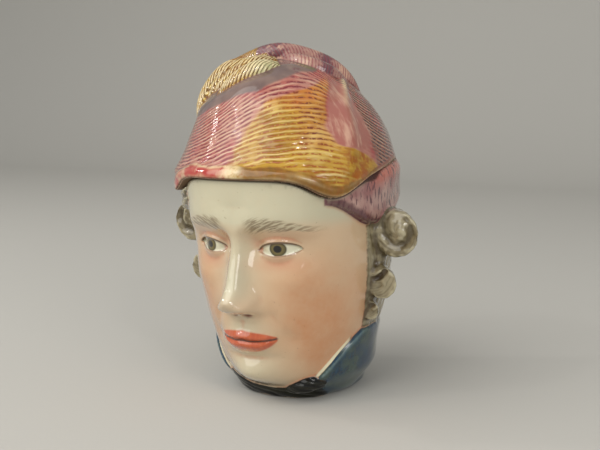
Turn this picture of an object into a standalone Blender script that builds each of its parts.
"""Tobacco jar in the shape of a head: curls at the sides, a coat collar at the foot,
and a knitted nightcap that lifts off as the lid. Metres, +Z up, the face looks along -Y,
and the origin is the middle of the flat foot."""

import math

import bmesh
import bpy
import numpy as np

MM = 0.001

# Head and foot
RIM_HEIGHT = 89.5 * MM
HEAD_WIDTH = 74.0 * MM
HEAD_DEPTH = 98.0 * MM
FACE_THIRD = 33.0 * MM
CHIN_HEIGHT = 7.0 * MM

# Walls and the fit of the lid
WALL = 4.0 * MM
FACE_ROOM = 4.5 * MM
FLOOR = 5.0 * MM
RIM_LAND = 8.0 * MM
LEDGE = 7.0 * MM
LID_WALL = 4.0 * MM
LID_GAP = 0.3 * MM
FLANGE_WALL = 3.5 * MM
FLANGE_PLAY = 0.9 * MM
FLANGE_DROP = 5.0 * MM
PAD_SUNK = 4.0 * MM
CUTTER_REACH = 25.0 * MM

# Cap
CAP_RISE = 45.5 * MM
CAP_PROUD = 2.8 * MM
CAP_LEAN = 3.5 * MM
TEMPLE_DIP = 6.5 * MM
BACK_RISE = 5.0 * MM
FLAP_PROUD = 3.4 * MM
FLAP_DROP = 19.0 * MM
FLAP_CORNER = 3.0 * MM
FLAP_LIFT = 5.5 * MM
FOLD = 1.2 * MM
HEM = 1.3 * MM
TAIL_RADIUS = 4.7 * MM
TASSEL_RADIUS = 6.0 * MM
FRINGE = 0.8 * MM

# Hair and collar
HAIR_PROUD = 2.6 * MM
LOCK = 1.5 * MM
TUFT = 2.3 * MM
BIG_CURL = 9.8 * MM
MIDDLE_CURL = 6.4 * MM
SMALL_CURL = 4.0 * MM
STRAND = 4.6 * MM
COLLAR_HEIGHT = 27.0 * MM
COLLAR_PROUD = 2.8 * MM
COLLAR_FOOT = 1.5 * MM
COLLAR_LIFT = 9.0 * MM
CRAVAT_HEIGHT = 5.5 * MM
CRAVAT_PROUD = 2.4 * MM

# How fine the clay is before it is thinned to facets
CLAY = 0.7 * MM
JAR_FACETS = 4700
LID_FACETS = 3000
ROUND = 60
FINE_ROUND = 144
FACE_ROUND = 420

TEMPLE = math.radians(52)
COLUMNS = np.linspace(0, 2 * math.pi, ROUND, endpoint=False)
FINE_COLUMNS = np.linspace(0, 2 * math.pi, FINE_ROUND, endpoint=False)

for old in list(bpy.data.objects):
    bpy.data.objects.remove(old, do_unlink=True)


def through(rows, at):
    """The smooth curve through rows of (place, value, value ...), read at each place in at."""
    rows = np.array(rows, float)
    place, value = rows[:, 0], rows[:, 1:]
    at = np.atleast_1d(np.asarray(at, float))
    slope = np.gradient(value, place, axis=0)
    i = np.clip(np.searchsorted(place, at) - 1, 0, len(place) - 2)
    span = (place[i + 1] - place[i])[:, None]
    s = np.clip((at - place[i])[:, None] / span, 0, 1)
    start = (2 * s**3 - 3 * s**2 + 1) * value[i] + (s**3 - 2 * s**2 + s) * span * slope[i]
    end = (3 * s**2 - 2 * s**3) * value[i + 1] + (s**3 - s**2) * span * slope[i + 1]
    return start + end


def step(low, high, x):
    s = np.clip((x - low) / (high - low), 0, 1)
    return s * s * (3 - 2 * s)


def hill(x, y, x0, y0, wide, tall):
    return np.exp(-(((x - x0) / wide) ** 2) - ((y - y0) / tall) ** 2)


# Head: share of the rim's height, then half width, front and back as shares, and how square
HEAD_SECTIONS = [
    (-0.05, 0.66, 0.56, 0.56, 2.2),
    (0.00, 0.68, 0.58, 0.58, 2.2),
    (0.055, 0.72, 0.67, 0.58, 2.1),
    (0.115, 0.78, 0.81, 0.59, 1.9),
    (0.22, 0.84, 0.94, 0.60, 1.85),
    (0.34, 0.91, 1.01, 0.62, 1.9),
    (0.50, 0.97, 1.07, 0.65, 2.0),
    (0.67, 0.99, 1.13, 0.69, 2.1),
    (0.82, 1.00, 1.19, 0.71, 2.2),
    (0.94, 1.03, 1.23, 0.73, 2.25),
    (1.10, 1.05, 1.24, 0.73, 2.25),
]


def head_section(z):
    """Half width, front, back and squareness of the plain head at height z."""
    share = through(HEAD_SECTIONS, np.asarray(z, float).ravel() / RIM_HEIGHT).T
    sizes = share * np.array([[HEAD_WIDTH / 2], [-HEAD_DEPTH / 2], [HEAD_DEPTH / 2], [1]])
    return [size.reshape(np.shape(z)) for size in sizes]


def around(angle, wide, front, back, square, inset=0.0):
    """A point on an egg-shaped outline. Angle 0 is the face, and a quarter turn is +X."""
    middle, half = (front + back) / 2, (back - front) / 2
    across, along = np.sin(angle), -np.cos(angle)
    x = np.sign(across) * np.abs(across) ** (2 / square) * (wide - inset)
    y = middle + np.sign(along) * np.abs(along) ** (2 / square) * (half - inset)
    return x, y


def on_head(angle, z, proud=0.0):
    """A point on the plain head, or proud of it."""
    x, y = around(angle, *head_section(z), -proud)
    return np.stack([x, y, z + 0 * x], -1)


def seam(angle):
    """Height of the rim round the head: it dips at the temples and climbs to the back."""
    turn = np.abs((angle + math.pi) % (2 * math.pi) - math.pi)
    dip = TEMPLE_DIP * np.exp(-(((turn - TEMPLE) / math.radians(15)) ** 2))
    climb = BACK_RISE * step(math.radians(62), math.radians(112), turn)
    return RIM_HEIGHT - dip + climb


# Cap: share of the rise, then half width, front and back as shares, and how square
CAP_SECTIONS = [
    (-0.30, 1.01, 0.99, 1.00, 2.25),
    (-0.08, 1.01, 0.98, 1.00, 2.25),
    (0.08, 0.99, 0.95, 0.98, 2.2),
    (0.22, 0.95, 0.89, 0.94, 2.15),
    (0.38, 0.89, 0.82, 0.89, 2.1),
    (0.54, 0.81, 0.74, 0.82, 2.05),
    (0.70, 0.69, 0.63, 0.71, 2.0),
    (0.84, 0.53, 0.48, 0.55, 2.0),
    (0.94, 0.33, 0.30, 0.35, 2.0),
    (1.00, 0.02, 0.02, 0.02, 2.0),
]


def cap_section(z):
    """Half width, front, back and squareness of the cap at height z."""
    share = through(CAP_SECTIONS, (np.asarray(z, float).ravel() - RIM_HEIGHT) / CAP_RISE).T
    wide, front, back = [float(size) for size in head_section(RIM_HEIGHT)[:3]]
    half = (back - front) / 2 + CAP_PROUD
    sizes = share * np.array([[wide + CAP_PROUD], [-half], [half], [1]])
    sizes[1:3] += (front + back) / 2
    return [size.reshape(np.shape(z)) for size in sizes]


def cap_lean(z):
    """How far the crown slumps towards the tassel."""
    return CAP_LEAN * step(0.2, 1.0, (z - RIM_HEIGHT) / CAP_RISE)


def on_cap(angle, z, proud=0.0):
    x, y = around(angle, *cap_section(z), -proud)
    return np.stack([x - cap_lean(z), y, z + 0 * x], -1)


# Face, on a grid of thirds: u runs across, w up from the foot of the nose, and forward is positive
NOSE_RIDGE = [
    (-0.20, 0.0, 0.14),
    (-0.10, 0.0, 0.14),
    (-0.045, 0.05, 0.145),
    (0.02, 0.25, 0.15),
    (0.13, 0.345, 0.15),
    (0.35, 0.25, 0.12),
    (0.60, 0.15, 0.105),
    (0.84, 0.07, 0.11),
    (1.00, 0.05, 0.17),
    (1.20, 0.0, 0.22),
]
EYE_OUT, EYE_UP, EYE_BALL = 0.43, 0.72, 0.235
EYE_SUNK = 0.035
EYELID = 0.03
EYE_HALF = 0.225
MOUTH_UP, MOUTH_HALF = -0.34, 0.37


def nose(u, w):
    height, half = through(NOSE_RIDGE, w.ravel()).T.reshape((2,) + w.shape)
    s = np.abs(u) / half
    ridge = height * (0.8 / (1 + s**4) + 0.2 * np.exp(-((s / 2.0) ** 2)))
    tip = 0.045 * hill(u, w, 0, 0.15, 0.13, 0.10)
    side = np.abs(u)
    wing = 0.13 * hill(side, w, 0.17, 0.085, 0.07, 0.085)
    crease = 0.025 * hill(side, w, 0.245, 0.13, 0.035, 0.09)
    nostril = 0.10 * hill(side, w, 0.085, -0.02, 0.05, 0.028)
    return ridge + tip + wing - crease - nostril


def eyelid_lines(across):
    """Heights of the upper and lower eyelid edge. Across runs from -1 inside to 1 outside."""
    arch = np.clip(1 - across**2, 0, 1)
    tilt = 0.012 * across
    return EYE_UP + 0.085 * arch**0.7 + tilt, EYE_UP - 0.062 * arch**0.8 + tilt


def eyes(u, w, plain):
    """Eyeballs and lids set in the sockets, in place of the plain surface there."""
    side = np.abs(u) - EYE_OUT
    rise = w - EYE_UP
    far = side**2 + rise**2
    sunk = -EYE_SUNK - EYE_BALL
    ball = sunk + np.sqrt(np.clip(EYE_BALL**2 - far, 0, None))
    lid = sunk + np.sqrt(np.clip((EYE_BALL + EYELID) ** 2 - far, 0, None))
    soft = 0.03
    top = np.maximum(plain, lid)
    low = np.minimum(plain, lid)
    covered = top + soft * np.log1p(np.exp(-(top - low) / soft)) * 0.5
    upper, lower = eyelid_lines(side / EYE_HALF)
    inside = np.minimum(upper - w, w - lower)
    opening = step(-0.008, 0.008, inside) * (np.abs(side) < EYE_HALF)
    near = step(1.35 * EYE_BALL, 1.05 * EYE_BALL, np.sqrt(far))
    covered = plain + (covered - plain) * near
    return covered + (np.minimum(ball, covered) - covered) * opening


def lips(u, w):
    across = np.clip(np.abs(u) / MOUTH_HALF, 0, 1)
    taper = (1 - across**2.2) ** 0.75
    bow = 0.11 * taper - 0.018 * np.exp(-((u / 0.05) ** 2))
    line = MOUTH_UP + 0.010 * np.cos(across * math.pi * 1.5) * taper + 0.035 * across**3
    up = (w - line) / np.maximum(bow, 0.02)
    down = (line - w) / np.maximum(0.15 * taper, 0.02)
    upper = 0.07 * taper * np.where(up > 0, np.exp(-((up - 0.35) / 0.62) ** 2), 0)
    lower = 0.085 * taper * np.where(down > 0, np.exp(-((down - 0.42) / 0.60) ** 2), 0)
    slit = 0.035 * taper**0.5 * np.exp(-(((w - line) / 0.014) ** 2))
    return upper + lower - slit


def face(u, w):
    """How far the face stands out from the plain head, in thirds."""
    side = np.abs(u)
    arch = 0.97 + 0.05 * np.sin(np.clip(side / 0.8, 0, 1) * math.pi)
    above = np.where(w > arch, 0.22, 0.10)
    brow = step(-0.05, 0.25, side) * step(0.95, 0.7, side)
    plain = 0.055 * np.exp(-(((w - arch) / above) ** 2)) * brow
    plain = plain - 0.125 * hill(side, w, 0.40, 0.73, 0.30, 0.19)
    plain = plain - 0.055 * hill(side, w, 0.185, 0.80, 0.09, 0.13)
    plain = plain + 0.05 * hill(side, w, 0.66, 0.38, 0.24, 0.20)
    plain = plain + 0.03 * hill(side, w, 0.55, 0.02, 0.28, 0.30)
    plain = plain + 0.10 * hill(u, w, 0, -0.26, 0.40, 0.30)
    plain = plain - 0.03 * hill(side, w, 0.47, -0.34, 0.09, 0.12)
    plain = plain + 0.17 * hill(u, w, 0, -0.80, 0.30, 0.18)
    plain = plain - 0.05 * hill(u, w, 0, -0.57, 0.26, 0.06)
    fold = 0.30 + 0.30 * (0.10 - w)
    plain = plain - 0.018 * np.exp(-(((side - fold) / 0.05) ** 2)) * hill(0 * w, w, 0, -0.10, 1, 0.22)
    plain = plain - 0.016 * hill(u, w, 0, -0.15, 0.035, 0.08)
    return eyes(u, w, plain) + nose(u, w) + lips(u, w)


def carve_face(points):
    """Moves the points of the plain head forward or back to make the face."""
    u = points[:, 0] / FACE_THIRD
    w = (points[:, 2] - CHIN_HEIGHT) / FACE_THIRD - 1
    front = step(0, -0.6, points[:, 1] / (HEAD_DEPTH / 2)) * step(1.12, 0.85, np.abs(u))
    moved = points.copy()
    moved[:, 1] -= front * face(u, w) * FACE_THIRD
    return moved


def mesh_of(rings, ends=True, wrap=False):
    """A closed mesh through rings of points. Ends are filled, or the last ring meets the first."""
    made = bmesh.new()
    loops = [[made.verts.new(p) for p in ring] for ring in rings]
    pairs = list(zip(loops, loops[1:]))
    if wrap:
        pairs.append((loops[-1], loops[0]))
    for low, high in pairs:
        for i in range(len(low)):
            j = (i + 1) % len(low)
            made.faces.new((low[i], low[j], high[j]))
            made.faces.new((low[i], high[j], high[i]))
    if ends:
        made.faces.new(list(reversed(loops[0])))
        made.faces.new(loops[-1])
    bmesh.ops.recalc_face_normals(made, faces=made.faces)
    return made


def add_to(clay, lump):
    """Puts one lump's mesh into the clay, as a closed shell of its own."""
    held = bpy.data.meshes.new("lump")
    lump.to_mesh(held)
    lump.free()
    clay.from_mesh(held)
    bpy.data.meshes.remove(held)


def new_object(name, made, colour=(0.8, 0.8, 0.8, 1), helper=False):
    held = bpy.data.meshes.new(name)
    made.to_mesh(held)
    made.free()
    held.shade_smooth()
    obj = bpy.data.objects.new(name, held)
    bpy.context.scene.collection.objects.link(obj)
    if helper:
        obj.hide_render = True
        obj.display_type = "WIRE"
        return obj
    glaze = bpy.data.materials.new(name + "_glaze")
    glaze.use_nodes = True
    shader = glaze.node_tree.nodes["Principled BSDF"]
    shader.inputs["Base Color"].default_value = colour
    shader.inputs["Roughness"].default_value = 0.12
    shader.inputs["Metallic"].default_value = 0.0
    held.materials.append(glaze)
    return obj


def head_point(angle, high, out=0.0):
    """A point over the head: degrees round from the face, share of the rim's height, height off it."""
    return on_head(np.array([math.radians(angle)]), np.array([high * RIM_HEIGHT]), out)[0]


def skull():
    turns = np.linspace(0, 2 * math.pi, FACE_ROUND, endpoint=False)
    angles = turns - 0.45 * np.sin(turns)
    rings = []
    for z in np.linspace(-PAD_SUNK, RIM_HEIGHT + 2 * PAD_SUNK, FACE_ROUND // 2):
        rings.append(carve_face(on_head(angles, np.full(FACE_ROUND, z))))
    return mesh_of(rings)


def wrapped(start, end, low, high, proud, steps=60, rows=16, edge=5.0):
    """A pad that lies round the head from one angle to another, between two heights."""
    angles = np.linspace(start, end, steps)
    rings = []
    for k, angle in enumerate(angles):
        s = abs(2 * k / (steps - 1) - 1)
        z = np.linspace(low(angle), high(angle), rows)
        t = np.abs(np.linspace(-1, 1, rows))
        rim = np.sqrt(np.clip((1 - s**edge) * (1 - t**edge), 0, 1))
        outer = on_head(np.full(rows, angle), z, rim * proud(angle, z))
        inner = on_head(np.full(rows, angle), z, -PAD_SUNK)
        rings.append(np.concatenate([outer, inner[::-1]]))
    return mesh_of(rings)


def turn_of(angle):
    return abs((angle + math.pi) % (2 * math.pi) - math.pi)


def flap_foot(angle):
    """Lower edge of the cap where it comes down over the ears and round the back."""
    turn = turn_of(angle)
    corner = TEMPLE_DIP + FLAP_CORNER
    drop = (FLAP_DROP - corner) * float(step(TEMPLE - 0.02, math.radians(84), turn))
    lift = FLAP_LIFT * float(step(math.radians(92), math.radians(122), turn))
    return RIM_HEIGHT - corner - drop + lift


def flaps():
    start, end = TEMPLE - 0.05, 2 * math.pi - TEMPLE - 0.20
    top = RIM_HEIGHT + BACK_RISE + 0.5 * CUTTER_REACH

    def puffed(angle, z):
        above = (z - flap_foot(angle)) / FLAP_PROUD
        return FLAP_PROUD * (1 + 0.35 * np.exp(-(((above - 0.9) / 1.2) ** 2)))

    return wrapped(start, end, flap_foot, lambda a: top, puffed, steps=110, rows=24, edge=7.0)


def locks(angle, z):
    """Hair combed down the back in long locks that sway a little."""
    down = z / RIM_HEIGHT
    sway = 0.5 * np.sin(6.9 * down) + 0.25 * np.sin(12.8 * down + 3 * angle)
    groove = np.abs(np.sin(6.5 * (angle - math.pi) + sway)) ** 0.6 - 0.5
    return HAIR_PROUD * (1 - 0.5 * step(0.62, 0.85, down)) + LOCK * groove


def hair():
    start, end = math.radians(84), math.radians(276)
    foot, top = COLLAR_HEIGHT - PAD_SUNK, RIM_HEIGHT - 0.5 * PAD_SUNK
    return wrapped(start, end, lambda a: foot, lambda a: top, locks, steps=150, rows=40)


def temple_hair():
    """Hair that shows below the cap at the right temple, swept back in two tufts."""
    made = []
    for high, size in ((0.857, 1.0), (0.900, 0.87)):
        radius = size * TUFT
        sweep = ((-38, 0.050), (-47, 0.028), (-56, 0.006), (-64, -0.006))
        line = [head_point(angle, high + lift, 0.17 * TUFT) for angle, lift in sweep]
        made.append(tube(line, np.array([0.4, 1.0, 1.25, 0.8]) * radius))
    return made


def collar_top(angle):
    rise = float(step(math.radians(28), math.radians(98), turn_of(angle)))
    return CRAVAT_HEIGHT + (COLLAR_HEIGHT - CRAVAT_HEIGHT) * rise


def collar_foot(angle):
    return COLLAR_FOOT + COLLAR_LIFT * float(step(math.radians(48), math.radians(92), turn_of(angle)))


def collar():
    """The coat's collar stands round the neck and falls outward to its lower edge."""
    start, end = math.radians(31), math.radians(329)

    def falls(angle, z):
        return COLLAR_PROUD * (1.25 - 0.5 * (z - collar_foot(angle)) / COLLAR_HEIGHT)

    return wrapped(start, end, collar_foot, collar_top, falls, steps=100, edge=8.0)


def cravat():
    """A soft band under the chin, tucked beside the collar in a small knot."""
    start, end = math.radians(-46), math.radians(46)
    proud, top = CRAVAT_PROUD, CRAVAT_HEIGHT
    band = wrapped(start, end, lambda a: -PAD_SUNK, lambda a: top, lambda a, z: proud, edge=3.0)
    rise = ((14, 0.73), (24, 0.95), (36, 1.27))
    knot = [head_point(angle, share * top / RIM_HEIGHT, 0.25 * proud) for angle, share in rise]
    return [band, tube(knot, np.array([0.6, 1.3, 0.85]) * proud)]


def roll(middle, radius, half_length, side, lean):
    """A curl: a short roll of hair lying front to back, its front end dished."""
    front = [(-0.62, o) for o in np.linspace(0.02, 0.30, 5)]
    front += [(-0.62 - 0.36 * (o - 0.30) / 0.45, o) for o in np.linspace(0.36, 0.75, 7)]
    profile = front + [
        (-1.00, 0.84),
        (-0.96, 0.93),
        (-0.80, 1.00),
        (-0.20, 1.00),
        (0.40, 0.94),
        (0.95, 0.80),
        (1.40, 0.58),
        (1.70, 0.30),
        (1.80, 0.02),
    ]
    turns = np.linspace(0, 2 * math.pi, 48, endpoint=False)
    rings = []
    for along, out in profile:
        coil = 0.16 * np.sin(side * turns - 13 * out) * step(0.0, 0.2, out) * step(0.95, 0.8, out)
        ahead = along + coil * (along < -0.5)
        x = middle[0] + radius * out * np.cos(turns) + side * lean * ahead * half_length
        y = middle[1] + half_length * ahead
        z = middle[2] + radius * out * np.sin(turns)
        rings.append(np.stack([x, y, z], -1))
    return mesh_of(rings)


# Curls: radius, share of the rim's height, share of the head's depth forward, and then in radii
# how far the middle stands off the head and the half length
CURLS = [
    (BIG_CURL, 0.748, 0.060, 0.50, 1.15),
    (MIDDLE_CURL, 0.545, 0.082, 0.25, 1.35),
    (SMALL_CURL, 0.402, 0.105, -0.23, 1.50),
]


def curls():
    """Three curls on each side, hung from one strand of hair."""
    made = []
    for side in (-1, 1):
        line = []
        for radius, high, ahead, out, length in CURLS:
            wide = float(head_section(high * RIM_HEIGHT)[0])
            middle = (side * (wide + out * radius), -ahead * HEAD_DEPTH, high * RIM_HEIGHT)
            made.append(roll(middle, radius, length * radius, side, -0.5))
            x = middle[0] - 0.3 * side * radius
            line.append((x, middle[1] - 0.3 * length * radius, middle[2]))
        made.append(tube(line, np.array([1.0, 0.85, 0.6]) * STRAND))
    return made


def tube(points, radii, sides=20, fringe=0.0, strands=0):
    """A tapering roll of clay along a smooth line, grooved across by a number of strands."""
    points, radii = np.array(points, float), np.array(radii, float)
    t = np.linspace(0, 1, len(points))
    fine = np.linspace(0, 1, 40 + 8 * strands)
    path = through(np.column_stack([t, points]), fine)
    size = through(np.column_stack([t, radii]), fine)[:, 0]
    size = size - fringe * np.abs(np.cos(math.pi * strands * fine)) ** 3
    ahead = np.gradient(path, axis=0)
    ahead /= np.linalg.norm(ahead, axis=1)[:, None]
    turns = np.linspace(0, 2 * math.pi, sides, endpoint=False)
    rings = []
    side = np.cross(ahead[0], (0.3, 0.5, 0.8))
    for p, d, r in zip(path, ahead, size):
        side = side - d * (side @ d)
        side /= np.linalg.norm(side)
        other = np.cross(d, side)
        rings.append(p + r * (np.outer(np.cos(turns), side) + np.outer(np.sin(turns), other)))
    return mesh_of(rings)


def cap_point(angle, rise, out=0.0):
    """A point over the cap: degrees round from the face, share of the rise, and height off it."""
    z = RIM_HEIGHT + rise * CAP_RISE
    return on_cap(np.array([math.radians(angle)]), np.array([z]), out)[0]


def tail():
    """The tip of the cap, drawn up at the back left and folded over the crown."""
    r = TAIL_RADIUS
    crown = cap_point(0, 1.0)
    line = [cap_point(118, 0.66, -0.7 * r), cap_point(116, 0.82, -0.3 * r), cap_point(112, 0.94)]
    line += [crown + np.array([-0.2, -0.2, 0.3]) * r]
    line += [cap_point(-68, 0.93, 0.4 * r), cap_point(-66, 0.84, 0.3 * r)]
    return tube(line, [0.5 * r, 0.9 * r, 1.05 * r, r, 0.9 * r, 0.6 * r])


def tassel():
    """Two tiers of fringe at the tail's end, lying down the right side of the cap."""
    r = TASSEL_RADIUS
    outer = [cap_point(-64, 0.95), cap_point(-64, 0.85), cap_point(-62, 0.68, -0.15 * r)]
    outer += [cap_point(-61, 0.52, -0.4 * r), cap_point(-61, 0.40, -0.6 * r)]
    inner = [cap_point(-8, 0.93, -0.1 * r), cap_point(-30, 0.88, 0.1 * r)]
    inner += [cap_point(-47, 0.74, -0.1 * r)]
    made = []
    for line, share, strands in ((outer, (0.6, 1.0, 1.0, 0.85, 0.5), 9), (inner, (0.35, 0.7, 0.45), 6)):
        made.append(tube(line, np.array(share) * r, fringe=FRINGE, strands=strands))
    return made


def cap_folds(points):
    """Soft folds of the cap: an edge up from each temple, and a flat band over the brow."""
    wide, front, back, square = cap_section(points[:, 2])
    middle = (front + back) / 2
    across = (points[:, 0] + cap_lean(points[:, 2])) / np.maximum(wide, FOLD)
    angle = np.arctan2(across, (middle - points[:, 1]) / np.maximum((back - front) / 2, FOLD))
    turn, rise = np.abs(angle), (points[:, 2] - RIM_HEIGHT) / CAP_RISE
    ridge = FOLD * np.exp(-(((turn - 1.01) / 0.28) ** 2)) * step(0.95, 0.6, rise)
    hem = HEM * np.exp(-(((rise - 0.03) / 0.07) ** 2)) * step(1.22, 0.87, turn)
    dent = -FOLD * hill(angle, rise, 0.44, 0.42, 0.49, 0.22)
    out = np.stack([np.sin(angle), -np.cos(angle), 0 * angle], -1)
    return points + out * (ridge + hem + dent)[:, None]


def dome():
    shares = np.concatenate([np.linspace(-0.30, 0.8, 60), np.linspace(0.81, 1.0, 24)])
    heights = RIM_HEIGHT + shares * CAP_RISE
    return mesh_of([cap_folds(on_cap(FINE_COLUMNS, np.full(FINE_ROUND, z))) for z in heights])


def fused(name, lumps, facets, colour):
    """Lumps of clay joined, smoothed as under glaze, and thinned to facets by modifiers."""
    clay = bmesh.new()
    for lump in lumps:
        add_to(clay, lump)
    obj = new_object(name, clay, colour)
    join = obj.modifiers.new("join", "REMESH")
    join.mode = "VOXEL"
    join.voxel_size = CLAY
    join.use_smooth_shade = True
    glaze = obj.modifiers.new("glaze", "SMOOTH")
    glaze.factor = 0.5
    glaze.iterations = 3
    joined = obj.evaluated_get(bpy.context.evaluated_depsgraph_get()).data
    thin = obj.modifiers.new("thin", "DECIMATE")
    thin.ratio = facets / sum(len(face.vertices) - 2 for face in joined.polygons)
    return obj


def cut(obj, cutter, operation="DIFFERENCE"):
    modifier = obj.modifiers.new(cutter.name, "BOOLEAN")
    modifier.operation = operation
    modifier.object = cutter
    modifier.solver = "EXACT"


def ring_at(inset, z):
    """A ring of the rim's own outline, drawn in by inset, at the given heights."""
    x, y = around(COLUMNS, *head_section(np.full(ROUND, RIM_HEIGHT)), inset)
    return np.stack([x, y, z + 0 * x], -1)


def under_foot():
    low, wide = -RIM_HEIGHT, 2 * HEAD_DEPTH
    corners = np.array([(-wide, -wide), (wide, -wide), (wide, wide), (-wide, wide)])
    rings = [np.column_stack([corners, np.full(4, z)]) for z in (low, 0.0)]
    return new_object("under_foot", mesh_of(rings), helper=True)


def above_rim():
    """All that stands above the seam, taken off the jar."""
    height = seam(COLUMNS)
    top = RIM_HEIGHT + CAP_RISE
    inner, outer = RIM_LAND + FLANGE_PLAY, -CUTTER_REACH
    rings = [ring_at(0.4 * HEAD_WIDTH, height), ring_at(inner, height)]
    rings += [ring_at(outer, height), ring_at(outer, top)]
    return new_object("above_rim", mesh_of(rings), helper=True)


def jar_hollow():
    """The room for tobacco: it follows the head inside, and narrows to the mouth."""
    shoulder = seam(COLUMNS) - LEDGE
    room = WALL + FACE_ROOM * step(0.35, 0.95, np.cos(COLUMNS))
    heights = np.linspace(FLOOR, 0.74 * RIM_HEIGHT, 7)
    rings = [on_head(COLUMNS, np.full(ROUND, z), -room) for z in heights]
    rings.append(ring_at(RIM_LAND, shoulder))
    rings.append(ring_at(RIM_LAND, RIM_HEIGHT + 1.2 * CAP_RISE))
    return new_object("jar_hollow", mesh_of(rings), helper=True)


def below_seam():
    """All that hangs below the seam outside the flange, taken off the lid."""
    height = seam(COLUMNS) + LID_GAP
    low = 0.5 * RIM_HEIGHT
    inner, outer = RIM_LAND + FLANGE_PLAY, -CUTTER_REACH
    rings = [ring_at(inner, low), ring_at(inner, height), ring_at(outer, height), ring_at(outer, low)]
    return new_object("below_seam", mesh_of(rings, ends=False, wrap=True), helper=True)


def under_flange():
    low = seam(COLUMNS) - FLANGE_DROP
    outer, inner = -CUTTER_REACH, 0.6 * HEAD_WIDTH / 2
    rings = [ring_at(outer, RIM_HEIGHT / 3), ring_at(outer, low), ring_at(inner, low)]
    return new_object("under_flange", mesh_of(rings), helper=True)


def lid_hollow():
    """The hollow inside the cap, narrowed to the flange at its foot."""
    flange = RIM_LAND + FLANGE_PLAY + FLANGE_WALL
    foot = seam(COLUMNS) + FLANGE_WALL
    rings = [ring_at(flange, 0.5 * RIM_HEIGHT), ring_at(flange, foot)]
    rings.append(on_cap(COLUMNS, foot + LID_WALL, -LID_WALL))
    low, top = foot.max() + 1.25 * LID_WALL, RIM_HEIGHT + CAP_RISE - LID_WALL
    for z in np.linspace(low, top, 7):
        higher = z + LID_WALL * ((z - low) / (top - low)) ** 2
        sizes = cap_section(np.full(ROUND, higher))
        inset = min(LID_WALL, 0.85 * float(sizes[0][0]))
        x, y = around(COLUMNS, *sizes, inset)
        rings.append(np.stack([x - cap_lean(z), y, z + 0 * x], -1))
    return new_object("lid_hollow", mesh_of(rings), helper=True)


def head_jar():
    lumps = [skull(), hair(), flaps(), collar()] + cravat() + curls() + temple_hair()
    jar = fused("head_jar", lumps, JAR_FACETS, (0.80, 0.66, 0.55, 1))
    for cutter in (above_rim(), jar_hollow(), under_foot()):
        cut(jar, cutter)


def cap_lid():
    lumps = [dome(), tail()] + tassel()
    lid = fused("cap_lid", lumps, LID_FACETS, (0.70, 0.40, 0.36, 1))
    for cutter in (below_seam(), under_flange(), lid_hollow()):
        cut(lid, cutter)


head_jar()
cap_lid()
